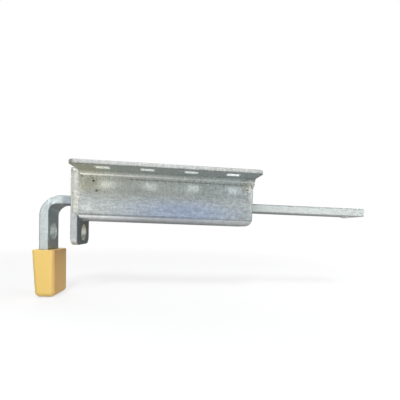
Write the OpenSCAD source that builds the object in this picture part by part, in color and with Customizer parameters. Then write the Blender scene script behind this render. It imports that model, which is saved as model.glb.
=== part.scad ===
// Slide bolt with a padlock lug: a folded sheet case, an end plate, a bent flat bar and a grip.
// Millimetres. X runs along the bar towards its tip, Y goes back from the viewer, Z is up.
// The origin is on the mounting face, at the middle of the row of slots.

/* [Channel] */
// Sheet thickness
sheet_t = 3.5; // [2:0.5:5]
// Length of the folded channel
channel_len = 161; // [130:5:240]
// Height from the mounting face to the lowest face of the web
channel_h = 48; // [42:1:70]
// Width of the slotted flange, from its rim to the web's back face
flange_w = 32; // [28:1:50]
// Depth of the case, from the web's front face to the rear edges
case_w = 37; // [35:1:60]
// Inside radius of every fold
bend_r = 3.5; // [2:0.5:5]
// Corner radius of the flange, seen from above
flange_corner_r = 6; // [2:1:12]
// Corner radius at the rear of the sheet and at the top of the tab
rear_corner_r = 5; // [2:1:8]
// Edge rounding of the flange's rim
rim_r = 1.2; // [0.4:0.2:1.6]
// Height of the gap between the top fold and the guide tab
relief_h = 1.5; // [1:0.5:4]

/* [Slots] */
// Number of slots in the row
slot_count = 4; // [2:1:4]
// Distance between neighbouring slot centres
slot_pitch = 37.5; // [25:0.5:40]
// Slot length, along the row
slot_len = 12; // [8:0.5:18]
// Slot width, across the flange
slot_w = 9; // [6:0.5:12]
// Distance from the rim to the row of slots
slot_edge = 12; // [9:0.5:14]
// Corner radius of each punched slot
slot_r = 0.8; // [0.4:0.2:2]

/* [Lug plate] */
// Thickness of the end plate
plate_t = 6; // [4:0.5:10]
// How far the lug hangs below the channel
lug_drop = 22.5; // [19:0.5:40]
// Corner radius at the bottom of the lug
lug_r = 7; // [2:0.5:9]
// Corner radius at the top of the plate
plate_top_r = 2; // [0.5:0.5:4]
// How far the plate's top stays below the mounting face
plate_top_gap = 1; // [0.5:0.5:3]
// Diameter of both padlock holes
shackle_d = 15; // [10:0.5:16]
// Depth of both padlock holes below the channel
shackle_drop = 11; // [10:0.5:14]

/* [Bar] */
// Width of the flat bar
bar_w = 25; // [20:1:25]
// Thickness of the flat bar
bar_t = 8; // [6:1:10]
// Length from the leg's outer face to the tip
bar_len = 314.5; // [260:0.5:340]
// Distance from the web's front face to the bar's near edge
bar_setback = 7.5; // [6:0.5:8]
// Height of the bar's underside above the lowest face of the web
bar_lift = 14.25; // [12:0.25:18]
// Inside radius of the bar's bend
bar_bend_r = 10.5; // [6:0.5:14]
// Gap between the leg and the lug plate, as pictured
leg_gap = 21.5; // [14:0.5:60]
// Corner radius at the tip, seen from the side
tip_r = 1.2; // [0.4:0.2:3]
// Rounding of the bar's rolled long edges
bar_edge_r = 1; // [0.2:0.2:1.6]
// Clearance all round the bar in its two windows
window_gap = 0.4; // [0.2:0.1:1]

/* [Stop dab] */
// Distance from the dab's middle to the bar's tip
dab_from_tip = 13; // [10:1:40]
// Radius of the dab where it sits on the bar
dab_r = 5; // [3:0.5:8]
// How far the dab stands out below the bar
dab_h = 1.5; // [1:0.25:3]

/* [Grip] */
// Height of the grip
grip_h = 43.1; // [30:0.1:60]
// Distance from the leg's padlock hole to the grip's top
grip_below_hole = 16.7; // [12:0.1:30]
// Grip wall outside the leg, at the top
grip_outer = 4.6; // [2:0.1:6]
// Grip wall inside the leg, at the top
grip_inner = 6.6; // [3:0.1:9]
// Grip walls in front of and behind the leg
grip_side = 4.3; // [2:0.1:6]
// Lean of the outer face, from top to bottom
outer_lean = 2.4; // [0:0.1:4]
// Lean of the inner face, from top to bottom
inner_lean = -0.7; // [-2:0.1:3]
// Radius of the grip's upright edges
grip_r = 3; // [1:0.25:4]
// Radius of the grip's corners and edges at its foot
grip_foot_r = 4.5; // [1:0.25:6]
// Radius of the grip's top rim
grip_rim_r = 0.8; // [0.2:0.1:1.5]
// Thickness of the grip's closed bottom
grip_floor = 8; // [4:0.5:14]
// Clearance between the leg and the grip's pocket
grip_fit = 0.1; // [0.05:0.05:0.3]

/* [Welds] */
// Width of the bead down the front joint
bead_w = 9.4; // [6:0.2:11]
// How far the front bead stands out
bead_h = 2.2; // [1:0.1:3]
// Distance between the ripples of a bead
bead_step = 3.2; // [2:0.1:4]
// How far the front bead's middle lies off the joint at its top, towards the plate
bead_offset = 1.2; // [0:0.1:2]
// How much the front bead narrows to its foot, as a share of its width
bead_taper = 0.4; // [0:0.05:0.6]
// How much the dabs of a bead vary, as a share of their size
ripple = 0.1; // [0:0.02:0.2]
// Leg of the bead inside the case
fillet_leg = 3.5; // [2:0.5:5]
// Size of each ball of the weld at the right-hand corner
corner_bead_r = 3; // [2:0.25:4]
// Distance between the balls of that weld
corner_step = 2.5; // [1.5:0.25:4]
// Distance from the end of the web to the first ball
corner_inset = 4; // [2:0.25:6]
// Depth of the first ball's middle behind the web's face
corner_sunk = 1.35; // [0.5:0.05:2]
// How much deeper each next ball sits
corner_fall = 0.3; // [0.1:0.05:0.4]

/* [Hidden] */
$fn = 48;

// Faces of the channel
x_left = -channel_len / 2;
x_right = channel_len / 2;
y_rim = -slot_edge;
y_web = y_rim + flange_w - sheet_t;
y_rear = y_web + case_w;
z_floor = -channel_h;
fold_r = bend_r + sheet_t;
z_fold = -sheet_t - bend_r;
z_tab_top = z_fold - relief_h;

// Faces of the lug plate and the line through both padlock holes
x_plate = x_left - plate_t;
z_plate_top = -plate_top_gap;
z_lug = z_floor - lug_drop;
z_shackle = z_floor - shackle_drop;

// Faces of the bar
y_bar = y_web + bar_setback;
y_mid = y_bar + bar_w / 2;
z_bar = z_floor + bar_lift;
z_bar_top = z_bar + bar_t;
x_leg_in = x_plate - leg_gap;
x_leg_out = x_leg_in - bar_t;
x_tip = x_leg_out + bar_len;

// The grip hangs on the leg, and the leg ends on the floor of its pocket
z_grip_top = z_shackle - grip_below_hole;
z_grip_bottom = z_grip_top - grip_h;
z_leg_end = z_grip_bottom + grip_floor;

// Radius of a ball that stands out by h and is 2 * r wide where it meets a face
function ball_r(r, h) = (r * r + h * h) / (2 * h);
// A slow, uneven wander between -1 and 1 for the dabs of a bead, whose size varies by ripple
function wander(i) = 0.6 * sin(137 * i) + 0.4 * sin(61 * i + 40);

// A rectangle from p to q with round corners, made of true arcs
module round_rect(p, q, r) {
    translate([p.x + r, p.y]) square([q.x - p.x - 2 * r, q.y - p.y]);
    translate([p.x, p.y + r]) square([q.x - p.x, q.y - p.y - 2 * r]);
    for (x = [p.x + r, q.x - r], y = [p.y + r, q.y - r]) translate([x, y]) circle(r);
}

// A box from corner p to corner q
module box(p, q) {
    translate(p) cube(q - p);
}

// Extrudes a drawing of Y and Z along X
module along_x(from, to) {
    translate([from, 0, 0]) rotate([90, 0, 90]) linear_extrude(to - from) children();
}

// Extrudes a drawing of X and Z along Y
module along_y(from, to) {
    translate([0, to, 0]) rotate([90, 0, 0]) linear_extrude(to - from) children();
}

// A quarter of a ring about the drawing's origin, in the quadrant that sx and sy point to
module quarter_ring(inner, outer, sx, sy) {
    intersection() {
        difference() {
            circle(outer);
            circle(inner);
        }
        scale([sx, sy]) square(outer + 1);
    }
}

// A block whose front, right and bottom faces meet in edges and a corner of radius r
module soft_block(x0, x1, y0, y1, z0, z1, r) {
    box([x0, y0 + r, z0 + r], [x1, y1, z1]);
    box([x0, y0, z0 + r], [x1 - r, y1, z1]);
    box([x0, y0 + r, z0], [x1 - r, y1, z1]);
    translate([x0, y0 + r, z0 + r]) rotate([0, 90, 0]) cylinder(h = x1 - r - x0, r = r);
    translate([x1 - r, y0 + r, z0 + r]) cylinder(h = z1 - z0 - r, r = r);
    translate([x1 - r, y1, z0 + r]) rotate([90, 0, 0]) cylinder(h = y1 - y0 - r, r = r);
    translate([x1 - r, y0 + r, z0 + r]) sphere(r);
}

// The window that the bar runs in, cut from x0 to x1
module bar_window(x0, x1) {
    box([x0, y_bar - window_gap, z_bar - window_gap],
        [x1, y_bar + bar_w + window_gap, z_bar_top + window_gap]);
}

// Section of the flange, the top fold and the upper web
module upper_section() {
    y_fold = y_web - bend_r;
    y_flat = y_rim + 2 * rim_r;
    round_rect([y_rim, -sheet_t], [y_flat + rim_r, 0], rim_r);
    translate([y_flat, -sheet_t]) square([y_fold - y_flat, sheet_t]);
    translate([y_fold, z_fold]) quarter_ring(bend_r, fold_r, 1, 1);
    translate([y_web, z_tab_top]) square([sheet_t, z_fold - z_tab_top]);
}

// Outline of the flange from above: round corners at the rim, square ends at the web
module flange_plan() {
    round_rect([x_left, y_rim], [x_right, y_rim + 3 * flange_corner_r], flange_corner_r);
    translate([x_left, y_rim + flange_corner_r]) square([channel_len, flange_w]);
}

// Web, bottom flange and guide tab: one sheet folded back along two sides of the web
module tray() {
    difference() {
        soft_block(x_left, x_right, y_web, y_rear, z_floor, z_tab_top, fold_r);
        soft_block(x_left - 1, x_right - sheet_t, y_web + sheet_t, y_rear + 1,
                   z_floor + sheet_t, z_tab_top + 1, bend_r);
        // The tab's top rear corner
        along_x(x_right - sheet_t - 1, x_right + 1) difference() {
            translate([y_rear - rear_corner_r, z_tab_top - rear_corner_r]) square(rear_corner_r + 1);
            translate([y_rear - rear_corner_r, z_tab_top - rear_corner_r]) circle(rear_corner_r);
        }
        bar_window(x_right - sheet_t - 1, x_right + 1);
    }
}

module channel() {
    color("silver") {
        difference() {
            intersection() {
                along_x(x_left, x_right) upper_section();
                translate([0, 0, z_tab_top - 1]) linear_extrude(-z_tab_top + 2) flange_plan();
            }
            for (i = [0:slot_count - 1]) {
                x = (i - (slot_count - 1) / 2) * slot_pitch;
                translate([x, 0, -sheet_t - 1]) linear_extrude(sheet_t + 2)
                    round_rect([-slot_len / 2, -slot_w / 2], [slot_len / 2, slot_w / 2], slot_r);
            }
        }
        tray();
    }
}

// Outline of the end plate and its lug
module plate_section() {
    round_rect([y_web, z_lug], [y_rear, z_floor], lug_r);
    round_rect([y_web, z_plate_top - 4 * plate_top_r], [y_rear, z_plate_top], plate_top_r);
    translate([y_web, z_lug + lug_r])
        square([case_w, z_plate_top - plate_top_r - z_lug - lug_r]);
}

module lug_plate() {
    color("silver") difference() {
        along_x(x_plate, x_left) plate_section();
        bar_window(x_plate - 1, x_left + 1);
        translate([x_plate - 1, y_mid, z_shackle]) rotate([0, 90, 0])
            cylinder(h = plate_t + 2, d = shackle_d);
    }
}

// The straight run of the bar, with its rolled edges and its round-cornered tip
module bar_run(x_from) {
    intersection() {
        along_x(x_from, x_tip) round_rect([y_bar, z_bar], [y_bar + bar_w, z_bar_top], bar_edge_r);
        along_y(y_bar, y_bar + bar_w)
            round_rect([x_from - 2 * tip_r, z_bar], [x_tip, z_bar_top], tip_r);
    }
}

// The bar's section swept through a quarter turn about the bend's axis
module bar_bend(x_axis, z_axis) {
    translate([x_axis, y_bar, z_axis]) rotate([-90, 0, 0]) rotate([0, 0, 180])
        rotate_extrude(angle = 90)
            round_rect([bar_bend_r, 0], [bar_bend_r + bar_t, bar_w], bar_edge_r);
}

module slide_bar() {
    x_bend = x_leg_in + bar_bend_r;
    z_bend = z_bar - bar_bend_r;
    color("lightsteelblue") difference() {
        union() {
            bar_run(x_bend);
            bar_bend(x_bend, z_bend);
            translate([0, 0, z_leg_end]) linear_extrude(z_bend - z_leg_end)
                round_rect([x_leg_out, y_bar], [x_leg_in, y_bar + bar_w], bar_edge_r);
        }
        translate([x_leg_out - 1, y_mid, z_shackle]) rotate([0, 90, 0])
            cylinder(h = bar_t + 2, d = shackle_d);
    }
}

// A low round dab of weld on the bar's underside
module stop_dab() {
    r = ball_r(dab_r, dab_h);
    color("gainsboro") intersection() {
        translate([x_tip - dab_from_tip, y_mid, z_bar + r - dab_h]) sphere(r);
        box([x_tip - dab_from_tip - r, y_mid - r, z_bar - r], [x_tip, y_mid + r, z_bar]);
    }
}

// One upright edge of the grip, from its rim at x_top to its foot at x_foot.
// Both places and y lie on the faces that meet there, which look towards side.x and side.y.
module grip_edge(x_top, x_foot, y, side) {
    translate([x_top - side.x * grip_r, y - side.y * grip_r, z_grip_top - grip_rim_r])
        cylinder(h = grip_rim_r, r1 = grip_r, r2 = grip_r - grip_rim_r / 2, $fn = 32);
    translate([x_foot - side.x * grip_foot_r, y - side.y * grip_foot_r, z_grip_bottom + grip_foot_r])
        sphere(grip_foot_r, $fn = 32);
}

module grip_cap() {
    x_out = x_leg_out - grip_outer;
    x_in = x_leg_in + grip_inner;
    color("gold") difference() {
        hull() for (s = [-1, 1]) {
            y = y_mid + s * (bar_w / 2 + grip_side);
            grip_edge(x_out, x_out + outer_lean, y, [-1, s]);
            grip_edge(x_in, x_in - inner_lean, y, [1, s]);
        }
        box([x_leg_out - grip_fit, y_bar - grip_fit, z_leg_end],
            [x_leg_in + grip_fit, y_bar + bar_w + grip_fit, z_grip_top + 1]);
    }
}

// The bead down the joint of the end plate and the web: a blob at its top, a point at its foot
module front_weld() {
    z_first = z_fold - bead_w / 3;
    z_last = z_floor + fold_r;
    count = floor((z_first - z_last) / bead_step);
    color("gainsboro") intersection() {
        union() for (i = [0:count]) {
            // How far the bead has narrowed, from 0 at its top to 1 at its foot
            taper = pow(i / count, 3);
            w = bead_w / 2 * (1 - bead_taper * taper);
            h = bead_h * (1 - bead_taper * taper + ripple * wander(i));
            r = ball_r(w, h);
            x = x_left - bead_offset * (1 - taper) + ripple * w * wander(i + 3);
            translate([x, y_web + r - h, z_first - i * bead_step]) sphere(r);
        }
        box([x_plate, y_web - 2 * bead_h, z_last - bead_w], [x_left + bead_w, y_web, z_fold]);
    }
}

// The bead inside the case, between the end plate and the bottom flange
module rear_weld() {
    y_first = y_web + fold_r + fillet_leg;
    count = floor((y_rear - fillet_leg - y_first) / bead_step);
    color("gainsboro") intersection() {
        union() for (i = [0:count])
            translate([x_left, y_first + i * bead_step, z_floor + sheet_t])
                sphere(fillet_leg * (1 + ripple * wander(i)));
        box([x_left, y_web + fold_r, z_floor + sheet_t],
            [x_left + 2 * fillet_leg, y_rear, z_floor + sheet_t + 2 * fillet_leg]);
    }
}

// The rough spot of weld over the relief at the right-hand corner
module corner_weld() {
    color("gainsboro") intersection() {
        union() for (i = [0:2])
            translate([x_right - corner_inset - i * corner_step,
                       y_web + corner_sunk + i * corner_fall, z_tab_top + relief_h / 3])
                sphere(corner_bead_r);
        box([x_right - corner_inset - 3 * corner_step - corner_bead_r, y_web - corner_bead_r, z_tab_top],
            [x_right, y_web, z_fold]);
    }
}

channel();
lug_plate();
front_weld();
rear_weld();
corner_weld();
slide_bar();
stop_dab();
grip_cap();
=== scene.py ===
import math

import bmesh
import bpy
from mathutils import Matrix, Vector


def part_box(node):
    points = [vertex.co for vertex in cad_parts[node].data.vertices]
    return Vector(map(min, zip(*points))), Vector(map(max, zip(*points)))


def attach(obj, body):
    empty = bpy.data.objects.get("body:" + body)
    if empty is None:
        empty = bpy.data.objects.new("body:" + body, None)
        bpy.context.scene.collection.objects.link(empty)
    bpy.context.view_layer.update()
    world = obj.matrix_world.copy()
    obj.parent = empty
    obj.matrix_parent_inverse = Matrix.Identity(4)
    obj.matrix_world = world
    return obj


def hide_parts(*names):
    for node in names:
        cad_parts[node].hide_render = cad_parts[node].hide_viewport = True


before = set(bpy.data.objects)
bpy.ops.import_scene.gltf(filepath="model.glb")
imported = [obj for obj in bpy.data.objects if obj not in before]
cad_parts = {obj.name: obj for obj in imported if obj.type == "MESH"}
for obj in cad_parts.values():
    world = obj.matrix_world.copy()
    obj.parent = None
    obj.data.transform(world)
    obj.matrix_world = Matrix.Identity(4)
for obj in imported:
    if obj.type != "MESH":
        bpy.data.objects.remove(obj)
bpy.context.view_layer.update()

mm = 0.001

# Driving sizes that the boxes of the solids don't give
sheet_t = 3.5 * mm
bend_r = 3.5 * mm
fold_r = bend_r + sheet_t
relief_h = 1.5 * mm
flange_corner_r = 6 * mm
rear_corner_r = 5 * mm
slot_count = 4
slot_pitch = 37.5 * mm
slot_len = 12 * mm
slot_w = 9 * mm
slot_r = 0.8 * mm
lug_r = 7 * mm
plate_top_r = 2 * mm
shackle_r = 7.5 * mm
shackle_drop = 11 * mm
bar_w = 25 * mm
bar_t = 8 * mm
bend_in_r = 10 * mm
bend_front_r = 7.5 * mm
bend_out_r = 19.5 * mm
bar_edge_r = 1 * mm
window_gap = 0.4 * mm
grip_outer = 4.6 * mm
grip_inner = 6.6 * mm
outer_lean = 2.4 * mm
inner_lean = 0.7 * mm
grip_r = 3 * mm
grip_foot_r = 4.5 * mm
grip_rim_r = 0.8 * mm
grip_fit = 0.1 * mm

# Faces of the solids
case_low, case_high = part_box("channel")
plate_low, plate_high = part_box("lug_plate")
bar_low, bar_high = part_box("slide_bar")
grip_low, grip_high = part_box("grip_cap")
x_left, x_right = case_low.x, case_high.x
y_rim, y_rear = case_low.y, case_high.y
y_web = plate_low.y
z_floor = case_low.z
z_fold = -fold_r
z_tab_top = z_fold - relief_h
z_shackle = z_floor - shackle_drop
y_bar = bar_low.y
y_mid = (bar_low.y + bar_high.y) / 2
z_bar_top = bar_high.z
z_bar = z_bar_top - bar_t
x_leg_out = bar_low.x
x_leg_in = x_leg_out + bar_t


# Making meshes

# Points that lie this near each other count as one
closeness = 0.01 * mm


def box_matrix(low, high):
    """Takes a cube of size 1 at the origin to the box from low to high."""
    low, high = Vector(low), Vector(high)
    return Matrix.Translation((low + high) / 2) @ Matrix.Diagonal((*(high - low), 1))


def near(a, b):
    return abs(a - b) < closeness


def edges_along(bm, axis):
    """The straight edges of a mesh that run along one axis."""
    others = [i for i in range(3) if i != axis]
    return [e for e in bm.edges if all(near(e.verts[0].co[i], e.verts[1].co[i]) for i in others)]


def only(geom, kind):
    """The parts of an operator's result that are of one kind."""
    return [g for g in geom if isinstance(g, kind)]


def bevel(bm, geom, offset, segments, affect="EDGES"):
    return bmesh.ops.bevel(bm, geom=geom, offset=offset, segments=segments, profile=0.5,
                           affect=affect, material=-1, clamp_overlap=True)


def object_from(bm, name):
    mesh = bpy.data.meshes.new(name)
    bm.to_mesh(mesh)
    bm.free()
    made = bpy.data.objects.new(name, mesh)
    bpy.context.scene.collection.objects.link(made)
    return made


def modify(piece, kind, **settings):
    added = piece.modifiers.new(kind.lower(), kind)
    for name, value in settings.items():
        setattr(added, name, value)
    return added


def cut(piece, tool):
    """Takes the shape of tool out of piece."""
    modify(piece, "BOOLEAN", operation="DIFFERENCE", solver="EXACT", object=tool)


def soften(piece, width, segments=2, angle=40):
    """Rounds each edge sharper than the angle."""
    modify(piece, "BEVEL", width=width, segments=segments, limit_method="ANGLE",
           angle_limit=math.radians(angle), use_clamp_overlap=True)


def settle(piece, *tools, sharp_angle=40):
    """Applies the modifiers, removes the cutting tools and shades the mesh smooth between sharp edges."""
    bpy.context.view_layer.update()
    shape = piece.evaluated_get(bpy.context.evaluated_depsgraph_get())
    mesh = bpy.data.meshes.new_from_object(shape)
    piece.modifiers.clear()
    piece.data = mesh
    for tool in tools:
        bpy.data.objects.remove(tool)
    mesh.shade_smooth()
    mesh.set_sharp_from_angle(angle=math.radians(sharp_angle))
    modify(piece, "WEIGHTED_NORMAL", keep_sharp=True)
    return piece


def finish_piece(piece, material, body, slot, *nodes):
    piece.data.materials.clear()
    piece.data.materials.append(material)
    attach(piece, body)
    if nodes:
        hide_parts(*nodes)
    return piece


def block_tool(low, high, corner_r=0, axis=2):
    """A cutting block with corners of radius corner_r round one axis."""
    bm = bmesh.new()
    bmesh.ops.create_cube(bm, size=1, matrix=box_matrix(low, high))
    if corner_r:
        bevel(bm, edges_along(bm, axis), corner_r, 4)
    return object_from(bm, "cutting_block")


def bore_tool(centre, radius, length):
    """A cutting cylinder that lies along X."""
    bm = bmesh.new()
    bmesh.ops.create_cone(bm, cap_ends=True, segments=64, radius1=radius, radius2=radius, depth=length,
                          matrix=Matrix.Translation(centre) @ Matrix.Rotation(math.pi / 2, 4, "Y"))
    return object_from(bm, "cutting_bore")


def window_tool(x0, x1):
    """The window that the bar runs in."""
    return block_tool((x0, y_bar - window_gap, z_bar - window_gap),
                      (x1, y_bar + bar_w + window_gap, z_bar_top + window_gap), 0.6 * mm, 0)


# The finishes

def colour(hex_code):
    """The linear value of an sRGB hex colour."""
    parts = [int(hex_code[i:i + 2], 16) / 255 for i in (1, 3, 5)]
    return (*[c / 12.92 if c <= 0.04045 else ((c + 0.055) / 1.055) ** 2.4 for c in parts], 1)


def per(size):
    """The texture scale at which one feature is this many metres across."""
    return 1 / size


def node(tree, kind, inputs=None, **settings):
    """Adds a shader node. Inputs are values or links, by the socket's name or number."""
    made = tree.nodes.new("ShaderNode" + kind)
    for name, value in settings.items():
        setattr(made, name, value)
    for socket, value in (inputs or {}).items():
        if isinstance(value, bpy.types.NodeSocket):
            tree.links.new(value, made.inputs[socket])
        else:
            made.inputs[socket].default_value = value
    return made


def new_tree(owner):
    owner.use_nodes = True
    owner.node_tree.nodes.clear()
    return owner.node_tree


# A ramp that starts and ends softly
eased = {"interpolation_type": "SMOOTHSTEP"}

# A noise texture's values mostly lie in this span
noise_span = {"From Min": 0.3, "From Max": 0.7}


def band(tree, value, low, high, blur):
    """1 where the value lies between low and high, fading to 0 over blur beyond them."""
    rise = node(tree, "MapRange", {"Value": value, "From Min": low - blur, "From Max": low}, **eased)
    fall = node(tree, "MapRange", {"Value": value, "From Min": high + blur, "From Max": high}, **eased)
    return node(tree, "Math", {0: rise.outputs[0], 1: fall.outputs[0]}, operation="MULTIPLY").outputs[0]


def coated(tree, skin, coats):
    """Lays coats over the skin in turn. Each coat is the share by which it covers, and its colour."""
    for share, tint in coats:
        skin = node(tree, "Mix", {0: share, 6: skin, 7: colour(tint)}, data_type="RGBA").outputs[2]
    return skin


def hot_dip_zinc(name, pale, dull, roughness, streak_axis, lined, gritty, regions):
    """Hot-dip galvanised mild steel. The zinc froze out of the bath as a mottled grey skin, cloudy
    where it went dull, with grains of dross, fine drag lines along one axis and a soft, uneven surface.
    lined and gritty are how much the drag lines and the grain darken it."""
    material = bpy.data.materials.new(name)
    tree = new_tree(material)
    place = node(tree, "TexCoord").outputs["Object"]

    # Clouds 22 mm across, mottling 4 mm across and grain 1 mm across
    clouds, mottle, grain = [
        node(tree, "TexNoise", {"Vector": place, "Scale": per(across), "Detail": detail,
                                "Roughness": raggedness}).outputs[0]
        for across, detail, raggedness in ((22 * mm, 3, 0.6), (4 * mm, 4, 0.65), (1 * mm, 2, 0.6))]

    # Drag lines 0.9 mm apart and 7 mm long
    stretch = [0.9 * mm] * 3
    stretch[streak_axis] = 7 * mm
    drawn = node(tree, "Mapping", {"Vector": place, "Scale": [per(s) for s in stretch]}).outputs[0]
    drag = node(tree, "TexNoise", {"Vector": drawn, "Scale": 1, "Detail": 2, "Roughness": 0.5}).outputs[0]

    skin = node(tree, "Mix", {0: clouds, 6: colour(dull), 7: colour(pale)}, data_type="RGBA").outputs[2]
    rough_swing = 0.06
    rough = node(tree, "MapRange", {"Value": mottle, **noise_span, "To Min": roughness - rough_swing,
                                    "To Max": roughness + rough_swing}).outputs[0]
    skin, rough, drag, grain = regions(tree, place, clouds, skin, rough, drag, grain)

    # Shade of the mottling, the drag lines and the grain, each a little stronger where it darkens
    value = 1
    for pattern, darkest, palest in ((mottle, 0.9, 1.09), (drag, 1 - lined, 1 + 0.8 * lined),
                                     (grain, 1 - gritty, 1 + 0.8 * gritty)):
        shade = node(tree, "MapRange", {"Value": pattern, **noise_span, "To Min": darkest,
                                        "To Max": palest}).outputs[0]
        value = node(tree, "Math", {0: value, 1: shade}, operation="MULTIPLY").outputs[0]
    shaded = node(tree, "VectorMath", {0: skin, 3: value}, operation="SCALE").outputs[0]

    # Relief, in metres: a slow waviness, the mottling and the grain
    relief = 0
    for pattern, depth in ((clouds, 0.25 * mm), (mottle, 0.12 * mm), (grain, 0.07 * mm)):
        relief = node(tree, "Math", {0: pattern, 1: depth, 2: relief}, operation="MULTIPLY_ADD").outputs[0]
    bump = node(tree, "Bump", {"Height": relief, "Strength": 1, "Distance": 1}).outputs[0]

    shader = node(tree, "BsdfPrincipled", {"Base Color": shaded, "Metallic": 1, "Roughness": rough,
                                           "Normal": bump})
    node(tree, "OutputMaterial", {"Surface": shader.outputs[0]})
    return material


def web_coats(tree, place, x, lower, upper):
    """The web: cooler towards the right and low down, with a blue bloom and yellowed beside the weld."""
    right = node(tree, "MapRange", {"Value": x, "From Min": -60 * mm, "From Max": 70 * mm}).outputs[0]
    cool = node(tree, "MapRange", {"Value": x, "From Min": -75 * mm, "From Max": -15 * mm,
                                   "To Min": 0.72}).outputs[0]
    cool = node(tree, "Math", {0: lower, 1: cool}, operation="MULTIPLY").outputs[0]

    # The bloom, 140 mm long and 30 mm high
    reach_x, reach_z = 70 * mm, 15 * mm
    centred = node(tree, "Mapping", {"Vector": place, "Location": (-15 * mm / reach_x, 0, 38 * mm / reach_z),
                                     "Scale": (per(reach_x), 0, per(reach_z))}).outputs[0]
    away = node(tree, "VectorMath", {0: centred}, operation="LENGTH").outputs[1]
    bloom = node(tree, "MapRange", {"Value": away, "From Min": 1.2, "From Max": 0.1,
                                    "To Max": 0.9}, **eased).outputs[0]

    beside = node(tree, "MapRange", {"Value": x, "From Min": -42 * mm, "From Max": -80 * mm,
                                     "To Max": 0.75}, **eased).outputs[0]
    beside = node(tree, "Math", {0: beside, 1: upper}, operation="MULTIPLY").outputs[0]
    return [(right, skin_cool), (cool, web_cool), (bloom, web_bloom), (beside, web_yellowed)]


def bend_coats(tree, x, z):
    """The lower bend and the foot of the upper one, which ran smooth, with painted highlights on both, and a
    painted shade line along the top of the lower one. Gives where the skin ran smooth too."""
    bend = node(tree, "MapRange", {"Value": z, "From Min": z_floor + 5 * mm,
                                   "From Max": z_floor + 4.3 * mm}, **eased).outputs[0]
    # Painted highlight along the foot of the upper fold
    foot = band(tree, z, -7.2 * mm, -6.4 * mm, 0.6 * mm)
    # Painted shade line along the top of the lower bend
    crease = band(tree, z, z_floor + 5.5 * mm, z_floor + 6.2 * mm, 0.4 * mm)

    # How strong each is from one place along the sheet, in mm, to another
    smoother, highlight_left, highlight_right, foot_along, crease_along = [
        node(tree, "MapRange", {"Value": x, "From Min": start * mm, "From Max": end * mm, "To Min": first,
                                "To Max": last}).outputs[0]
        for start, end, first, last in ((0, 50, 1, 0.25), (-62, -25, 1, 0.58), (10, 45, 0, 0.57),
                                        (-50, 25, 0.85, 0.4), (-50, 40, 0.5, 0))]
    # Painted highlight on the lower bend, strongest at the left
    bend_highlight = node(tree, "Math", {0: highlight_left, 1: highlight_right}, operation="MAXIMUM").outputs[0]
    smooth, bend_highlight, foot, crease = [
        node(tree, "Math", {0: where, 1: strength}, operation="MULTIPLY").outputs[0]
        for where, strength in ((bend, smoother), (bend, bend_highlight), (foot, foot_along), (crease, crease_along))]
    ran = node(tree, "Math", {0: smooth, 1: foot}, operation="MAXIMUM").outputs[0]
    return ran, [(foot, fold_foot_painted_highlight), (bend_highlight, bend_painted_highlight), (crease, crease_painted_shade)]


def edge_coats(tree, x, y, z):
    """Painted light on the punched walls of the slots, stronger to the right, the dull front edge of the
    flange, and painted shade on its right corner. Gives where that edge is too."""
    # Painted light on the slot walls, stronger to the right
    wall = band(tree, y, slot_w / 2 - 0.4 * mm, slot_w / 2 + 0.1 * mm, 0.1 * mm)
    lit_rightwards = node(tree, "MapRange", {"Value": x, "From Min": 5 * mm, "From Max": 55 * mm,
                                    "To Max": 0.6}).outputs[0]
    wall = node(tree, "Math", {0: wall, 1: lit_rightwards}, operation="MULTIPLY").outputs[0]
    edge = node(tree, "MapRange", {"Value": y, "From Min": y_rim + 2 * mm,
                                   "From Max": y_rim + 1 * mm}).outputs[0]
    # Painted shade on the flange's rounded right corner
    corner = node(tree, "MapRange", {"Value": x, "From Min": x_right - 4.5 * mm,
                                     "From Max": x_right - 2 * mm, "To Max": 0.6}).outputs[0]
    flange = node(tree, "Math", {0: z, 1: -sheet_t}, operation="GREATER_THAN").outputs[0]
    corner = node(tree, "Math", {0: corner, 1: flange}, operation="MULTIPLY").outputs[0]
    return edge, [(wall, slot_wall_painted_light), (edge, edge_dull), (corner, corner_painted_shade)]


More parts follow.
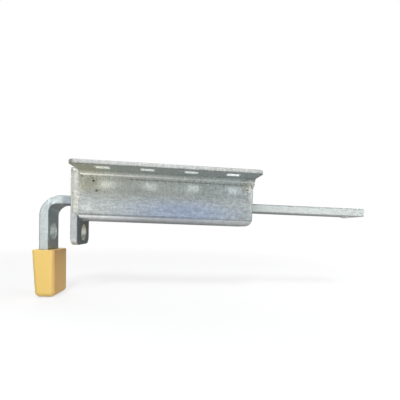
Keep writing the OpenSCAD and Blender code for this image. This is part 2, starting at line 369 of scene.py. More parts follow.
def mark_coats(tree, place, x, z, upper, edge, ran):
    """The marks of the bath and the weld: specks, pits and spots of ash, and burnt and spattered skin."""
    # Ragged specks 1.2 mm across, strongest on the flange's edge, few on the lower web, none on the bends
    speckle = node(tree, "TexNoise", {"Vector": place, "Scale": per(1.2 * mm), "Detail": 2}).outputs[0]
    specks = node(tree, "MapRange", {"Value": speckle, "From Min": 0.56, "From Max": 0.7}).outputs[0]
    on_web = node(tree, "MapRange", {"Value": upper, "To Min": 0.08, "To Max": 0.3}).outputs[0]
    strength = node(tree, "MapRange", {"Value": edge, "To Min": on_web, "To Max": 0.6}).outputs[0]
    uneven = node(tree, "Math", {0: 1, 1: ran}, operation="SUBTRACT").outputs[0]
    for share in (strength, uneven):
        specks = node(tree, "Math", {0: specks, 1: share}, operation="MULTIPLY").outputs[0]

    # Pits 1 to 4 mm long in a broken line under the fold
    broken = node(tree, "TexNoise", {"Vector": place, "Scale": per(2 * mm), "Detail": 2}).outputs[0]
    pits = node(tree, "MapRange", {"Value": broken, "From Min": 0.5, "From Max": 0.6, "To Min": 0.3,
                                   "To Max": 0.75}).outputs[0]
    for share in (band(tree, z, -9.9 * mm, -9.3 * mm, 0.6 * mm), band(tree, x, -30 * mm, 66 * mm, 16 * mm)):
        pits = node(tree, "Math", {0: pits, 1: share}, operation="MULTIPLY").outputs[0]
    ashy = node(tree, "Math", {0: specks, 1: pits}, operation="MAXIMUM").outputs[0]

    # Burnt, spattered skin beside the corner weld, in dark and pale specks 1 mm across
    off = node(tree, "VectorMath", {0: place, 1: (x_right - 5 * mm, y_web, z_tab_top - 1.5 * mm)},
               operation="DISTANCE").outputs[1]
    scorched = node(tree, "MapRange", {"Value": off, "From Min": 12 * mm, "From Max": 5 * mm}).outputs[0]
    spatter = node(tree, "TexNoise", {"Vector": place, "Scale": per(1.1 * mm), "Detail": 1}).outputs[0]
    burnt = node(tree, "MapRange", {"Value": spatter, "From Min": 0.52, "From Max": 0.64,
                                    "To Max": 0.75}).outputs[0]
    splashed = node(tree, "MapRange", {"Value": spatter, "From Min": 0.49, "From Max": 0.4,
                                       "To Max": 0.85}).outputs[0]
    burnt, splashed = [node(tree, "Math", {0: found, 1: scorched}, operation="MULTIPLY").outputs[0]
                       for found in (burnt, splashed)]
    coats = [(burnt, ash_dark), (splashed, spatter_pale), (ashy, ash)]

    # Ragged spots at the left of the web
    for spot_x, spot_z, radius, share, tint in web_spots:
        off = node(tree, "VectorMath", {0: place, 1: (spot_x, y_web, spot_z)},
                   operation="DISTANCE").outputs[1]
        ragged = node(tree, "Math", {0: spatter, 1: radius, 2: off}, operation="MULTIPLY_ADD").outputs[0]
        spot = node(tree, "MapRange", {"Value": ragged, "From Min": 1.6 * radius, "From Max": 1.1 * radius,
                                       "To Max": share}).outputs[0]
        coats.append((spot, tint))
    return coats


def sheet_regions(tree, place, clouds, skin, rough, drag, grain):
    """Where the folded sheet's skin differs: along the web, on the bends and edges, and at its marks."""
    x, y, z = node(tree, "SeparateXYZ", {0: place}).outputs

    # The grain is coarser and stronger towards the right
    knobbly = node(tree, "TexNoise", {"Vector": place, "Scale": per(2.2 * mm), "Detail": 3,
                                      "Roughness": 0.6}).outputs[0]
    knobbly = node(tree, "MapRange", {"Value": knobbly, **noise_span, "To Min": 0.18,
                                      "To Max": 0.82}).outputs[0]
    coarser = node(tree, "MapRange", {"Value": x, "From Min": -30 * mm, "From Max": 30 * mm,
                                      "To Max": 0.85}).outputs[0]
    grain = node(tree, "Mix", {0: coarser, 2: grain, 3: knobbly}, data_type="FLOAT").outputs[0]

    # The lower half of the web, with a wandering bound, is even and has its drag lines along the sheet
    sway = node(tree, "Math", {0: clouds, 1: 12 * mm, 2: -6 * mm}, operation="MULTIPLY_ADD").outputs[0]
    height = node(tree, "Math", {0: z, 1: sway}, operation="ADD").outputs[0]
    lower = node(tree, "MapRange", {"Value": height, "From Min": -14.5 * mm,
                                    "From Max": -28.5 * mm}, **eased).outputs[0]
    upper = node(tree, "Math", {0: 1, 1: lower}, operation="SUBTRACT").outputs[0]
    drawn = node(tree, "Mapping", {"Vector": place, "Scale": (per(9 * mm), per(0.9 * mm),
                                                              per(0.9 * mm))}).outputs[0]
    along = node(tree, "TexNoise", {"Vector": drawn, "Scale": 1, "Detail": 2, "Roughness": 0.5}).outputs[0]
    drag = node(tree, "Mix", {0: lower, 2: drag, 3: along}, data_type="FLOAT").outputs[0]
    rough = node(tree, "Mix", {0: lower, 2: rough, 3: 0.62}, data_type="FLOAT").outputs[0]

    # The bends ran smooth
    ran, bends = bend_coats(tree, x, z)
    rough, drag, grain = [node(tree, "Mix", {0: ran, 2: elsewhere, 3: there}, data_type="FLOAT").outputs[0]
                          for elsewhere, there in ((rough, 0.24), (drag, 0.5), (grain, 0.5))]
    edge, edges = edge_coats(tree, x, y, z)
    coats = web_coats(tree, place, x, lower, upper) + bends + edges
    coats += mark_coats(tree, place, x, z, upper, edge, ran)
    return coated(tree, skin, coats), rough, drag, grain


def bore_painted_light_share(tree, y, z, share):
    """The wall of a padlock hole, for painted light that makes it paler."""
    across = node(tree, "Math", {0: y, 1: y_mid}, operation="SUBTRACT").outputs[0]
    up = node(tree, "Math", {0: z, 1: z_shackle}, operation="SUBTRACT").outputs[0]
    flat = node(tree, "CombineXYZ", {0: across, 1: up}).outputs[0]
    off = node(tree, "VectorMath", {0: flat}, operation="LENGTH").outputs[1]
    return node(tree, "MapRange", {"Value": off, "From Min": shackle_r + 0.6 * mm,
                                   "From Max": shackle_r + 0.3 * mm, "To Max": share}).outputs[0]


def plate_regions(tree, place, clouds, skin, rough, drag, grain):
    """Where the plate's skin differs: cream beside the weld, a painted highlight round the lug's foot,
    painted shade on the right face, and painted light in the hole."""
    x, y, z = node(tree, "SeparateXYZ", {0: place}).outputs
    beside = node(tree, "MapRange", {"Value": z, "From Min": z_floor + 6 * mm,
                                     "From Max": z_floor + 14 * mm}, **eased).outputs[0]
    # Painted highlight round the lug's foot
    foot = node(tree, "MapRange", {"Value": z, "From Min": plate_low.z + 7 * mm,
                                   "From Max": plate_low.z + 4 * mm}, **eased).outputs[0]
    # Painted shade on the plate's right face
    inner = node(tree, "MapRange", {"Value": x, "From Min": x_left - 0.9 * mm,
                                    "From Max": x_left - 0.4 * mm}).outputs[0]
    skin = coated(tree, skin, [(beside, plate_cream), (foot, highlight_and_pale_zinc), (inner, plate_side_painted_shade),
                               (bore_painted_light_share(tree, y, z, 0.58), bore_painted_light)])
    return skin, rough, drag, grain


def weld_regions(tree, place, clouds, skin, rough, drag, grain):
    """Where the weld metal's skin differs: pitted with slag all over, and palest on the dab at the tip."""
    x = node(tree, "SeparateXYZ", {0: place}).outputs[0]
    tip = node(tree, "MapRange", {"Value": x, "From Min": 100 * mm, "From Max": 110 * mm}).outputs[0]
    slag = node(tree, "TexNoise", {"Vector": place, "Scale": per(1.2 * mm), "Detail": 2}).outputs[0]
    pits = node(tree, "MapRange", {"Value": slag, "From Min": 0.55, "From Max": 0.7,
                                   "To Max": 0.25}).outputs[0]
    return coated(tree, skin, [(tip, highlight_and_pale_zinc), (pits, ash)]), rough, drag, grain


def bar_regions(tree, place, clouds, skin, rough, drag, grain):
    """Where the bar's skin differs: duller and bluish between the hot bend and the case, rubbed dull
    where it runs in the case, pale at the tip, painted light on the leg's inner face and in the hole, and
    darker along the top edge."""
    x, y, z = node(tree, "SeparateXYZ", {0: place}).outputs
    middle = node(tree, "MapRange", {"Value": x, "From Min": 0, "From Max": 60 * mm}).outputs[0]
    tip = node(tree, "MapRange", {"Value": x, "From Min": 80 * mm, "From Max": 150 * mm}).outputs[0]
    heated = band(tree, x, x_leg_in + 14 * mm, -70 * mm, 4 * mm)
    # Painted light on the leg's inner face above the hole
    inner = band(tree, x, x_leg_in - 0.4 * mm, x_leg_in + 1 * mm, 0.5 * mm)
    above = node(tree, "MapRange", {"Value": z, "From Min": z_shackle - 9 * mm,
                                    "From Max": z_shackle - 1 * mm}).outputs[0]
    inner = node(tree, "Math", {0: inner, 1: above}, operation="MULTIPLY").outputs[0]
    # Darker along the top edge
    crest = node(tree, "MapRange", {"Value": z, "From Min": z_bar_top - 1.6 * mm,
                                    "From Max": z_bar_top - 0.8 * mm, "To Max": 0.7}).outputs[0]
    # Painted light on the wall of the hole
    bore = bore_painted_light_share(tree, y, z, 1)
    skin = coated(tree, skin, [(middle, bar_rubbed), (tip, bar_tip_pale), (heated, bar_heated),
                               (inner, leg_side_painted_light), (crest, bar_top_edge_darker), (bore, bore_painted_light_cool)])
    rough = node(tree, "Mix", {0: bore, 2: rough, 3: 0.68}, data_type="FLOAT").outputs[0]
    return skin, rough, drag, grain


def moulded_pvc():
    """Dip-moulded soft PVC: an even warm yellow with a waxy sheen and a faint orange-peel skin, with painted
    shade and a worn band on the right face, darker near the top of that face, painted light round the foot,
    and painted shade in the joint round the leg."""
    material = bpy.data.materials.new("dip_moulded_yellow_pvc")
    tree = new_tree(material)
    place = node(tree, "TexCoord").outputs["Object"]
    x, y, z = node(tree, "SeparateXYZ", {0: place}).outputs
    clouds = node(tree, "TexNoise", {"Vector": place, "Scale": per(14 * mm), "Detail": 3}).outputs[0]
    peel = node(tree, "TexNoise", {"Vector": place, "Scale": per(1.4 * mm), "Detail": 2}).outputs[0]
    skin = node(tree, "Mix", {0: clouds, 6: colour(grip_dull), 7: colour(grip_bright)},
                data_type="RGBA").outputs[2]

    x_face = x_leg_in + grip_inner
    # The right face, which gets painted shade and carries the worn band
    right_face = node(tree, "MapRange", {"Value": x, "From Min": x_face - 2.4 * mm,
                                      "From Max": x_face - 1.2 * mm}, **eased).outputs[0]
    worn = band(tree, y, grip_low.y + 2.8 * mm, grip_low.y + 5.5 * mm, 1 * mm)
    # Darker near the top of the right face
    top_band = node(tree, "MapRange", {"Value": z, "From Min": grip_high.z - 5 * mm,
                                    "From Max": grip_high.z - 2 * mm, "To Max": 0.25}).outputs[0]
    worn, top_band = [node(tree, "Math", {0: where, 1: right_face}, operation="MULTIPLY").outputs[0]
                   for where in (worn, top_band)]
    # Painted light round the foot
    low = node(tree, "MapRange", {"Value": z, "From Min": grip_low.z + 2.6 * mm,
                                  "From Max": grip_low.z + 0.8 * mm}, **eased).outputs[0]

    # Painted shade in the joint round the leg
    along = band(tree, x, x_leg_out - 1 * mm, x_leg_in + 1 * mm, 0.4 * mm)
    across = band(tree, y, bar_low.y - 1 * mm, bar_high.y + 1 * mm, 0.4 * mm)
    joint_shade = node(tree, "Math", {0: z, 1: grip_high.z - 0.3 * mm}, operation="GREATER_THAN").outputs[0]
    for share in (along, across):
        joint_shade = node(tree, "Math", {0: joint_shade, 1: share}, operation="MULTIPLY").outputs[0]
    skin = coated(tree, skin, [(right_face, grip_right_face_shade), (worn, grip_worn), (top_band, grip_top_darker),
                               (low, grip_foot_painted_light), (joint_shade, joint_painted_shade)])

    # The relief of the peel, in metres
    relief = node(tree, "Math", {0: peel, 1: 0.02 * mm}, operation="MULTIPLY").outputs[0]
    bump = node(tree, "Bump", {"Height": relief, "Strength": 1, "Distance": 1}).outputs[0]
    rough = node(tree, "MapRange", {"Value": clouds, "To Min": 0.42, "To Max": 0.55}).outputs[0]
    shader = node(tree, "BsdfPrincipled", {"Base Color": skin, "Roughness": rough, "IOR": 1.53,
                                           "Subsurface Weight": 0.1, "Subsurface Scale": 1.5 * mm,
                                           "Normal": bump})
    node(tree, "OutputMaterial", {"Surface": shader.outputs[0]})
    return material


# The pieces

def folded_sheet():
    """The case: one sheet with three folds, a slotted flange and a tab with the bar's window."""
    bm = bmesh.new()
    bmesh.ops.create_cube(bm, size=1, matrix=box_matrix((x_left, y_web, z_floor),
                                                        (x_right, y_rear, z_tab_top)))
    open_sides = [f for f in bm.faces if f.normal.x < -0.5 or f.normal.y > 0.5 or f.normal.z > 0.5]
    bmesh.ops.delete(bm, geom=open_sides, context="FACES")
    bevel(bm, [e for e in bm.edges if len(e.link_faces) == 2], fold_r, 10)
    tab_corner = [v for v in bm.verts
                  if near(v.co.x, x_right) and near(v.co.y, y_rear) and near(v.co.z, z_tab_top)]
    bevel(bm, tab_corner, rear_corner_r, 6, "VERTICES")

    # The strip above the relief runs the whole length
    top = [e for e in bm.edges if all(near(v.co.y, y_web) and near(v.co.z, z_tab_top) for v in e.verts)]
    strip = bmesh.ops.extrude_edge_only(bm, edges=top)["geom"]
    bmesh.ops.translate(bm, verts=only(strip, bmesh.types.BMVert), vec=(0, 0, relief_h))
    side = [e for e in bm.edges if all(near(v.co.x, x_right - fold_r) and near(v.co.y, y_web)
                                       and v.co.z > z_tab_top - closeness for v in e.verts)]
    ear = bmesh.ops.extrude_edge_only(bm, edges=side)["geom"]
    bmesh.ops.translate(bm, verts=only(ear, bmesh.types.BMVert), vec=(fold_r, 0, 0))

    # The top fold and the flange
    crest = [e for e in bm.edges if all(near(v.co.y, y_web) and near(v.co.z, z_fold) for v in e.verts)]
    turned = bmesh.ops.spin(bm, geom=crest, cent=(0, y_web - bend_r, z_fold), axis=(1, 0, 0),
                            angle=math.pi / 2, steps=8)["geom_last"]
    lip = bmesh.ops.extrude_edge_only(bm, edges=only(turned, bmesh.types.BMEdge))["geom"]
    bmesh.ops.translate(bm, verts=only(lip, bmesh.types.BMVert), vec=(0, y_rim - y_web + bend_r, 0))
    corners = [v for v in bm.verts if near(v.co.y, y_rim) and (near(v.co.x, x_left) or near(v.co.x, x_right))]
    bevel(bm, corners, flange_corner_r, 8, "VERTICES")
    bmesh.ops.recalc_face_normals(bm, faces=bm.faces)
    web = min(bm.faces, key=lambda f: (f.calc_center_median() - Vector((0, y_web, z_floor / 2))).length)
    if web.normal.y > 0:
        bmesh.ops.reverse_faces(bm, faces=bm.faces)

    piece = object_from(bm, "case_sheet")
    modify(piece, "SOLIDIFY", thickness=sheet_t, offset=-1, use_even_offset=True, use_quality_normals=True)
    soften(piece, 0.9 * mm, 3)
    tools = [window_tool(x_right - 2 * sheet_t, x_right + sheet_t)]
    for i in range(slot_count):
        x = (i - (slot_count - 1) / 2) * slot_pitch
        tools.append(block_tool((x - slot_len / 2, -slot_w / 2, -2 * sheet_t),
                                (x + slot_len / 2, slot_w / 2, sheet_t), slot_r))
    for tool in tools:
        cut(piece, tool)
    soften(piece, 0.3 * mm)
    return settle(piece, *tools)


def end_plate():
    """The thick plate across the left end, with the bar's window and the padlock lug."""
    bm = bmesh.new()
    bmesh.ops.create_cube(bm, size=1, matrix=box_matrix(plate_low, plate_high))
    bevel(bm, [e for e in edges_along(bm, 0) if near(e.verts[0].co.z, plate_low.z)], lug_r, 8)
    bevel(bm, [e for e in edges_along(bm, 0) if near(e.verts[0].co.z, plate_high.z)], plate_top_r, 4)
    piece = object_from(bm, "end_plate")
    soften(piece, 0.7 * mm, 3)
    # A cold lap, 0.5 mm wide and 8.4 mm long, crosses the plate's edge beside the toe of the bead
    half = Vector((0.25, 0.8, 4.2)) * mm
    lean = math.radians(-26)
    lap = block_tool(-half, half)
    lap.matrix_world = (Matrix.Translation((x_left - 1.1 * mm, y_web, z_floor + 4.6 * mm))
                        @ Matrix.Rotation(lean, 4, "Y"))
    tools = [window_tool(plate_low.x - sheet_t, plate_high.x + sheet_t),
             bore_tool((plate_low.x, y_mid, z_shackle), shackle_r, 4 * sheet_t), lap]
    for tool in tools:
        cut(piece, tool)
    soften(piece, 0.5 * mm)
    return settle(piece, *tools)


def bent_bar():
    """The flat bar: a straight run, a hot bend that thinned outside and bulged inside, and the leg."""
    bm = bmesh.new()
    tip = Matrix.Translation((bar_high.x, y_mid, z_bar + bar_t / 2))
    section = Matrix.Rotation(math.pi / 2, 4, "Y") @ Matrix.Diagonal((bar_t, bar_w, 1, 1))
    bmesh.ops.create_grid(bm, x_segments=5, y_segments=1, size=0.5, matrix=tip @ section)
    bevel(bm, [v for v in bm.verts if len(v.link_edges) == 2], bar_edge_r, 3, "VERTICES")
    x_bend = x_leg_in + bend_in_r
    z_bend = z_bar - bend_in_r

    def push(faces, vec):
        grown = bmesh.ops.extrude_face_region(bm, geom=faces)["geom"]
        bmesh.ops.translate(bm, verts=only(grown, bmesh.types.BMVert), vec=vec)
        return only(grown, bmesh.types.BMFace)

    end = push(bm.faces[:], (x_bend - bar_high.x, 0, 0))
    turned = bmesh.ops.spin(bm, geom=end, cent=(x_bend, 0, z_bend), axis=(0, 1, 0), angle=-math.pi / 2,
                            steps=16)["geom_last"]
    end = only(turned, bmesh.types.BMFace)

    # The inside and outside of the bend go to arcs of their own, the inside one tighter at the front edge
    # and widening over two thirds of the bar's width
    widening = 1.5

    # The section swells inside and thins outside, by shares of the width, most just before the bend meets
    # the run. The swell's middle and reach are shares of the thickness, from the inner face outwards
    swell, thinning = 0.1, 0.02
    swell_middle, swell_reach = -0.1, 0.35
    lag, fade = 0.5, 0.5
    for v in [v for v in bm.verts if v.co.x < (x_bend + bar_high.x) / 2]:
        radial = Vector((v.co.x - x_bend, 0, v.co.z - z_bend))
        outward = (radial.length - bend_in_r) / bar_t
        radial.normalize()
        backward = (v.co.y - y_bar) / bar_w
        in_r = bend_front_r + (bend_in_r - bend_front_r) * min(1, widening * backward)
        inner = Vector((x_leg_in + in_r, 0, z_bar - in_r)) + in_r * radial
        outer = Vector((x_leg_out + bend_out_r, 0, z_bar_top - bend_out_r)) + bend_out_r * radial
        along = math.atan2(radial.z, -radial.x)
        turn = max(0, math.sin(2 * along - lag)) * min(1, (math.pi / 2 - along) / fade)
        inside = math.exp(-((outward - swell_middle) / swell_reach) ** 2)
        bulge = turn * (swell * inside - thinning * outward)
        v.co = inner.lerp(outer, outward) + Vector((0, v.co.y + (v.co.y - y_mid) * bulge, 0))
    push(end, (0, 0, bar_low.z - z_bend))
    bmesh.ops.holes_fill(bm, edges=[e for e in bm.edges if e.is_boundary])
    bmesh.ops.recalc_face_normals(bm, faces=bm.faces)
    piece = object_from(bm, "bent_bar")
    tool = bore_tool((x_leg_out, y_mid, z_shackle), shackle_r, 4 * bar_t)
    soften(piece, 0.9 * mm, 3)
    cut(piece, tool)
    soften(piece, 0.5 * mm)
    return settle(piece, tool)


def grip():
    """The moulded grip: both its sides lean to the right on the way down, the outer one more, and it
    holds the end of the leg."""
    x_outer, x_inner = x_leg_out - grip_outer, x_leg_in + grip_inner
    bm = bmesh.new()
    bmesh.ops.create_cube(bm, size=1, matrix=box_matrix((x_outer, grip_low.y, grip_low.z),
                                                        (x_inner, grip_high.y, grip_high.z)))
    for v in bm.verts:
        if v.co.z < (grip_low.z + grip_high.z) / 2:
            v.co.x += outer_lean if v.co.x < x_leg_out else inner_lean
    rounded = [e for e in bm.edges if not all(near(v.co.z, grip_high.z) for v in e.verts)]
    bevel(bm, rounded, grip_foot_r, 8)
    for v in [v for v in bm.verts if near(v.co.z, grip_high.z)]:
        # The upright edges are tighter at the top: each corner shrinks towards the meeting of its faces
        corner = Vector((x_inner if v.co.x > (x_outer + x_inner) / 2 else x_outer,
                         grip_high.y if v.co.y > y_mid else grip_low.y, v.co.z))
        v.co = corner + (v.co - corner) * grip_r / grip_foot_r
    rim = [e for e in bm.edges if all(near(v.co.z, grip_high.z) for v in e.verts)]
    bevel(bm, rim, grip_rim_r, 3)
    piece = object_from(bm, "grip")
    pocket = block_tool((x_leg_out - grip_fit, bar_low.y - grip_fit, bar_low.z),
                        (x_leg_in + grip_fit, bar_high.y + grip_fit, grip_high.z + sheet_t), bar_edge_r)
    cut(piece, pocket)
    soften(piece, 0.3 * mm)
    return settle(piece, pocket)


def weld(name, dabs, voxel=0.5 * mm, lump_height=0.25 * mm):
    """Overlapping dabs of weld metal, each a centre and three radii, melted into one lumpy bead."""
    bm = bmesh.new()
    for centre, radii in dabs:
        bmesh.ops.create_icosphere(bm, subdivisions=3, radius=1,
                                   matrix=Matrix.Translation(centre) @ Matrix.Diagonal((*radii, 1)))
    piece = object_from(bm, name)
    modify(piece, "REMESH", mode="VOXEL", voxel_size=voxel)
    modify(piece, "SMOOTH", factor=0.5, iterations=4)
    lumps = bpy.data.textures.new(name, "CLOUDS")
    lumps.noise_scale = 2.2 * mm
    modify(piece, "DISPLACE", texture=lumps, texture_coords="LOCAL", strength=2 * lump_height, mid_level=0.5)
    return settle(piece, sharp_angle=180)


def wander(i):
    """A slow, uneven wander between -1 and 1 for the ripples of a bead."""
    return 0.6 * math.sin(math.radians(137 * i)) + 0.4 * math.sin(math.radians(61 * i + 40))


def front_bead():
    """The bead down the joint: a smooth low run nearly flush with the plate's edge, a blob on top, a
    wandering ridge along its right side, and a toe that runs on to the lower bend."""
    bead_w, bead_h, step = 7.4 * mm, 0.85 * mm, 1.7 * mm
    ridge_out, ridge_swing, ridge_turn = 1.2 * mm, 1.3 * mm, 0.8
    top = -4.5 * mm
    foot = z_floor + 7 * mm
    count = round((top - foot) / step)
    blob = ((x_left - 3.2 * mm, y_web + 0.6 * mm, top + 0.2 * mm), (2.4 * mm, 1.9 * mm, 3 * mm))
    dabs = [blob]

    # Each step down has a dab of the run and one of the ridge, and both taper towards the foot
    for i in range(count + 1):
        taper = (i / count) ** 3
        z = top - i * step
        dabs.append(((x_left - (1.7 + 1.1 * taper) * mm, y_web + 0.4 * mm, z),
                     (bead_w / 2 * (1 - 0.35 * taper), bead_h + 0.1 * mm * wander(i), 1.5 * step)))
        ridge = ridge_out + ridge_swing * (1 - 0.6 * taper) * math.cos(ridge_turn * (i - 4))
        dabs.append(((x_left + ridge - 2 * mm * taper, y_web + 0.7 * mm, z),
                     ((2 - 0.8 * taper) * mm, (1.15 + 0.1 * wander(i + 2)) * mm, 1.2 * step)))

    # The toe leans to the right and ends in a point
    toe_r = 1.3 * mm
    for i in range(3):
        share = i / 2
        dabs.append(((x_left + (-0.3 + 1.2 * share) * mm, y_web + (0.5 + 0.6 * share) * mm,
                      foot - 0.5 * mm - toe_r * i),
                     (toe_r - 0.6 * share * mm, (1.1 - 0.3 * share) * mm, toe_r)))
    return weld("front_bead", dabs, lump_height=0.16 * mm)


def rear_bead():
    """The fillet inside, between the plate and the bottom flange."""
    low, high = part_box("rear_weld")
    step = 2.8 * mm
    count = round((high.y - low.y) / step) - 1
    leg = high.z - low.z
    sunk = 0.3 * mm
    return weld("rear_bead", [((low.x + sunk, low.y + (i + 0.7) * step, low.z + sunk),
                               (leg * (0.95 + 0.05 * wander(i)), 0.9 * step, leg * 0.95))
                              for i in range(count)])


def corner_spot():
    """The rough spot of weld that closes the relief at the top right corner, with spatter beside it."""
    # Four dabs along the relief, from the corner to the left
    dabs = [((x_right - (1.6 + 2.0 * i) * mm, y_web + (1.2 - 0.3 * i) * mm, z_tab_top + 0.4 * mm * wander(i)),
             ((1.6 + 0.2 * wander(i + 5)) * mm, 1.2 * mm, (1.3 + 0.3 * wander(i + 2)) * mm))
            for i in range(4)]
    # Three dabs down the round edge of the fold, ever smaller
    across = math.sqrt(0.5) * fold_r
    x_round, y_round = x_right - fold_r + across, y_web + fold_r - across
    dabs += [((x_round - 0.3 * i * mm, y_round + 0.15 * i * mm, z_tab_top - (0.6 + 1.5 * i) * mm),
              ((1.9 - 0.4 * i) * mm, (1.9 - 0.4 * i) * mm, 1.5 * mm))
             for i in range(3)]
    # Ten drops of spatter down and to the left of the spot, joined to the sheet
    dabs += [((x_right - (8.5 + 2.6 * wander(i)) * mm, y_web + 0.4 * mm,
               z_tab_top - (3 + 2.8 * wander(i + 9)) * mm),
              ((0.6 + 0.2 * wander(i + 4)) * mm, 0.65 * mm, (0.6 + 0.2 * wander(i + 6)) * mm))
             for i in range(10)]
    return weld("corner_spot", dabs, voxel=0.3 * mm)


def tip_dab():
    """The dab under the bar near its tip."""
    low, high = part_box("stop_dab")
    middle = (low + high) / 2
    radii = (high.x - middle.x, high.y - middle.y, high.z - low.z)
    return weld("tip_dab", [((middle.x, middle.y, high.z), radii)], voxel=0.3 * mm, lump_height=0.1 * mm)


# Colours of the skins where they differ, and of painted light and shade: the sheet
skin_cool = "#BAC3C3"
web_cool = "#A7ACAB"
web_bloom = "#8F9BAE"
web_yellowed = "#D4D4BF"
# Painted highlight on the lower bend
bend_painted_highlight = "#EEF0F0"
# Painted shade line along the top of the lower bend
crease_painted_shade = "#767B7D"
# Painted highlight along the foot of the upper fold
fold_foot_painted_highlight = "#D8D8D0"
# Painted light on the slot walls
slot_wall_painted_light = "#FFFFFF"
edge_dull = "#B8BAB7"
# Painted shade on the flange's rounded right corner
corner_painted_shade = "#7E8180"
ash = "#6A6B62"
ash_dark = "#43463C"
spatter_pale = "#E0DDD2"
run_pale = "#D6DAD8"

# The plate, the welds and the padlock holes
# Painted highlight round the lug's foot, and the pale dab at the bar's tip
highlight_and_pale_zinc = "#F2F4F2"
plate_cream = "#C4C7BD"
# Painted shade on the plate's right face
plate_side_painted_shade = "#A2A7AA"
# Painted light on the walls of the padlock holes
bore_painted_light = "#F4F7E6"
bore_painted_light_cool = "#DAE2DF"

# The bar
# Painted light on the leg's inner face
leg_side_painted_light = "#D4E0E1"
bar_rubbed = "#B4BBB9"
bar_tip_pale = "#CBD0CE"
bar_heated = "#9CA4A8"
# Darker along the bar's top edge
bar_top_edge_darker = "#9CA3A4"

# The grip
grip_dull = "#DEBB65"
grip_bright = "#E4C471"
# Painted shade on the grip's right face
grip_right_face_shade = "#D2AC70"
grip_worn = "#D4A558"
# Painted light round the grip's foot
grip_foot_painted_light = "#FBE2A0"
# Darker near the top of the grip's right face
grip_top_darker = "#CFA27C"
# Painted shade in the joint round the leg
joint_painted_shade = "#6E5234"

# Spots on the web, each by x, z, radius, share and colour: an ash stain, a bright run by the weld's foot
# and four specks of ash
web_spots = [(-70 * mm, -13 * mm, 6 * mm, 0.18, ash),
             (-72.5 * mm, -35.5 * mm, 5.5 * mm, 0.3, run_pale),
             (-77.6 * mm, -8.8 * mm, 1.6 * mm, 0.7, ash),
             (-67.8 * mm, -10.2 * mm, 0.9 * mm, 0.6, ash_dark),
             (-67.1 * mm, -12.4 * mm, 1.15 * mm, 1, ash_dark),
             (-64.4 * mm, -21 * mm, 1.25 * mm, 0.75, ash_dark)]

sheet_zinc = hot_dip_zinc("galvanised_folded_sheet", "#D0D3CF", "#BDC1B7", roughness=0.66, streak_axis=2,
                          lined=0.14, gritty=0.17, regions=sheet_regions)
plate_zinc = hot_dip_zinc("galvanised_plate", "#BBBFBE", "#A9AEAD", roughness=0.5, streak_axis=1,
                          lined=0.08, gritty=0.14, regions=plate_regions)
bar_zinc = hot_dip_zinc("galvanised_flat_bar", "#C8CFCE", "#BAC2C2", roughness=0.55, streak_axis=0,
                        lined=0.05, gritty=0.14, regions=bar_regions)
weld_zinc = hot_dip_zinc("galvanised_weld_metal", "#CBCCC5", "#BABBB3", roughness=0.6, streak_axis=2,
                         lined=0.05, gritty=0.16, regions=weld_regions)
grip_pvc = moulded_pvc()

finish_piece(folded_sheet(), sheet_zinc, "case", "sheet_zinc", "channel")
finish_piece(end_plate(), plate_zinc, "case", "plate_zinc", "lug_plate")
finish_piece(front_bead(), weld_zinc, "case", "weld_zinc", "front_weld")
finish_piece(rear_bead(), weld_zinc, "case", "weld_zinc", "rear_weld")
finish_piece(corner_spot(), weld_zinc, "case", "weld_zinc", "corner_weld")
finish_piece(bent_bar(), bar_zinc, "bolt", "bar_zinc", "slide_bar")
finish_piece(tip_dab(), weld_zinc, "bolt", "weld_zinc", "stop_dab")
finish_piece(grip(), grip_pvc, "bolt", "grip_yellow", "grip_cap")


# The stage

floor_gap = 0.5 * mm
floor_half = 4.0
card_pale = "#BEBEBE"
card_grey = "#8C8C8C"

# The floor's glow: its share near the object, its strengths there for the camera and for metal, and
# the distances between which both grow to 1
glow_near = 0.45
seen_strength = 1.45
mirrored_strength = 2.0
glow_from, glow_to = 0.3, 1.4

# How much of the white background metal sees in the floor at the left, at the right and behind the
# object, and in the room, with the places between which that changes. The line behind is skewed.
mirrored_left = 0.95
mirrored_right = 0.5
mirrored_back = 0.05
mirrored_room = 0.04
left_end, left_start = -0.1, 0
back_start, back_end = -0.05, 0.08
back_skew = -0.24

# The room's light, from the level of the floor to overhead
room_dim, room_pale = 0.08, 0.45


def background_share(tree, share, mirrored):
    """How much of the white background a ray sees: the camera and glass all of it, metal a part."""
    path = node(tree, "LightPath")
    seen = node(tree, "Math", {0: path.outputs["Is Camera Ray"], 1: path.outputs["Is Transmission Ray"]},
                operation="MAXIMUM")
    both = node(tree, "Math", {0: path.outputs["Is Glossy Ray"], 1: mirrored, 2: seen.outputs[0]},
                operation="MULTIPLY_ADD", use_clamp=True)
    return node(tree, "Math", {0: both.outputs[0], 1: share}, operation="MULTIPLY").outputs[0]


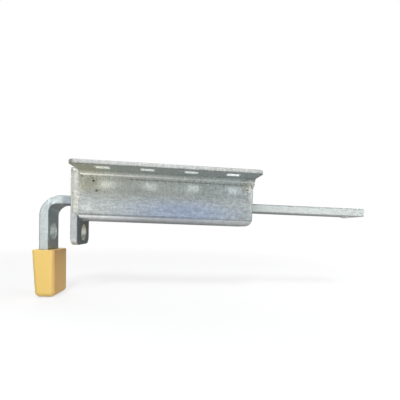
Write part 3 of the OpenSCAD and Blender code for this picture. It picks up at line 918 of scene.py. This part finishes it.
def pale_floor():
    """A card that glows white to the camera, the more the farther from the object, whose shadow it keeps.
    Metal sees it as a darker card that glows bright in front of the object and dim behind it."""
    material = bpy.data.materials.new("pale_floor")
    tree = new_tree(material)
    place = node(tree, "TexCoord").outputs["Object"]
    x, y = node(tree, "SeparateXYZ", {0: place}).outputs[:2]
    away = node(tree, "VectorMath", {0: place}, operation="LENGTH").outputs[1]
    share = node(tree, "MapRange", {"Value": away, "From Min": glow_from, "From Max": glow_to,
                                    "To Min": glow_near}, **eased).outputs[0]
    path = node(tree, "LightPath")
    near_glow = node(tree, "MapRange", {"Value": path.outputs["Is Camera Ray"], "To Min": mirrored_strength,
                                        "To Max": seen_strength}).outputs[0]
    strength = node(tree, "MapRange", {"Value": away, "From Min": glow_from, "From Max": glow_to,
                                       "To Min": near_glow}, **eased).outputs[0]
    skewed = node(tree, "Math", {0: x, 1: back_skew, 2: y}, operation="MULTIPLY_ADD").outputs[0]
    mirrored = node(tree, "MapRange", {"Value": skewed, "From Min": back_start, "From Max": back_end,
                                       "To Min": 1, "To Max": mirrored_back}, **eased).outputs[0]
    front = node(tree, "MapRange", {"Value": x, "From Min": left_end, "From Max": left_start,
                                    "To Min": mirrored_left, "To Max": mirrored_right}, **eased).outputs[0]
    mirrored = node(tree, "Math", {0: mirrored, 1: front}, operation="MULTIPLY").outputs[0]
    grey = node(tree, "Mix", {0: path.outputs["Is Glossy Ray"], 6: colour(card_pale), 7: colour(card_grey)},
                data_type="RGBA").outputs[2]
    card = node(tree, "BsdfDiffuse", {"Color": grey})
    glow = node(tree, "Emission", {"Color": colour("#FFFFFF"), "Strength": strength})
    mixed = node(tree, "MixShader", {0: background_share(tree, share, mirrored), 1: card.outputs[0],
                                     2: glow.outputs[0]})
    node(tree, "OutputMaterial", {"Surface": mixed.outputs[0]})
    bm = bmesh.new()
    bmesh.ops.create_grid(bm, x_segments=1, y_segments=1, size=floor_half,
                          matrix=Matrix.Translation((0, 0, grip_low.z - floor_gap)))
    floor = object_from(bm, "floor")
    floor.data.materials.append(material)


def studio_world():
    """A dim room with a paler ceiling."""
    world = bpy.data.worlds.new("studio")
    bpy.context.scene.world = world
    tree = new_tree(world)
    up = node(tree, "SeparateXYZ", {0: node(tree, "TexCoord").outputs["Generated"]}).outputs[2]
    level = node(tree, "MapRange", {"Value": up, "From Min": 0.1, "From Max": 0.9, "To Min": room_dim,
                                    "To Max": room_pale}).outputs[0]
    soft = node(tree, "Background", {"Color": (1, 1, 1, 1), "Strength": level})
    white = node(tree, "Background", {"Color": (1, 1, 1, 1), "Strength": 1})
    mixed = node(tree, "MixShader", {0: background_share(tree, 1, mirrored_room), 1: soft.outputs[0],
                                     2: white.outputs[0]})
    node(tree, "OutputWorld", {"Surface": mixed.outputs[0]})


def lamp(name, azimuth, elevation, distance, power, width, height=None, tint="#FFFFFF"):
    """A soft area lamp, seen from the object at this azimuth and elevation in degrees, turned towards it.
    Its distance and size are in metres and its power in watts."""
    light = bpy.data.lights.new(name, "AREA")
    light.energy = power
    light.color = colour(tint)[:3]
    light.shape = "RECTANGLE" if height else "DISK"
    light.size = width
    light.size_y = height or width
    made = bpy.data.objects.new(name, light)
    a, e = math.radians(azimuth), math.radians(elevation)
    away = Vector((math.sin(a) * math.cos(e), -math.cos(a) * math.cos(e), math.sin(e)))
    made.location = away * distance
    made.rotation_euler = away.to_track_quat("Z", "Y").to_euler()
    made.visible_camera = False
    bpy.context.scene.collection.objects.link(made)


def photo_camera():
    """The photograph's viewpoint: a small camera held close, below the flange and level with the case."""
    lens = bpy.data.cameras.new("photo_camera")
    camera = bpy.data.objects.new("photo_camera", lens)
    bpy.context.scene.collection.objects.link(camera)
    position = Vector((4.16, -254.44, -52.61)) * mm
    yaw, pitch, roll = -0.1179, -0.0468, -0.0346
    focal_px, centre_px = 290.49, (206.78, 243.44)
    picture_px = 400
    turn = Matrix.Rotation(yaw, 4, "Z") @ Matrix.Rotation(pitch, 4, "X") @ Matrix.Rotation(roll, 4, "Y")
    upright = Matrix.Rotation(math.pi / 2, 4, "X")
    camera.matrix_world = Matrix.Translation(position) @ turn @ upright
    lens.sensor_width = 36
    lens.lens = lens.sensor_width * focal_px / picture_px
    lens.shift_x = -(centre_px[0] - picture_px / 2) / picture_px
    lens.shift_y = (centre_px[1] - picture_px / 2) / picture_px
    lens.clip_start = 10 * mm
    lens.clip_end = 20
    bpy.context.scene.camera = camera


pale_floor()
studio_world()
lamp("key", azimuth=-8, elevation=38.5, distance=0.975, power=7.48, width=0.28, tint="#FAFCFF")
lamp("left_front_fill", azimuth=-28, elevation=4, distance=1.5, power=3.4, width=0.9)
lamp("right_front_fill", azimuth=30, elevation=4, distance=0.8, power=1.05, width=0.45)
lamp("right_strip", azimuth=86, elevation=22, distance=1.2, power=10, width=1.05, height=0.35)
lamp("back_fill", azimuth=-145, elevation=35, distance=1.6, power=8, width=1.2)
photo_camera()
bpy.context.scene.view_settings.view_transform = "Standard"
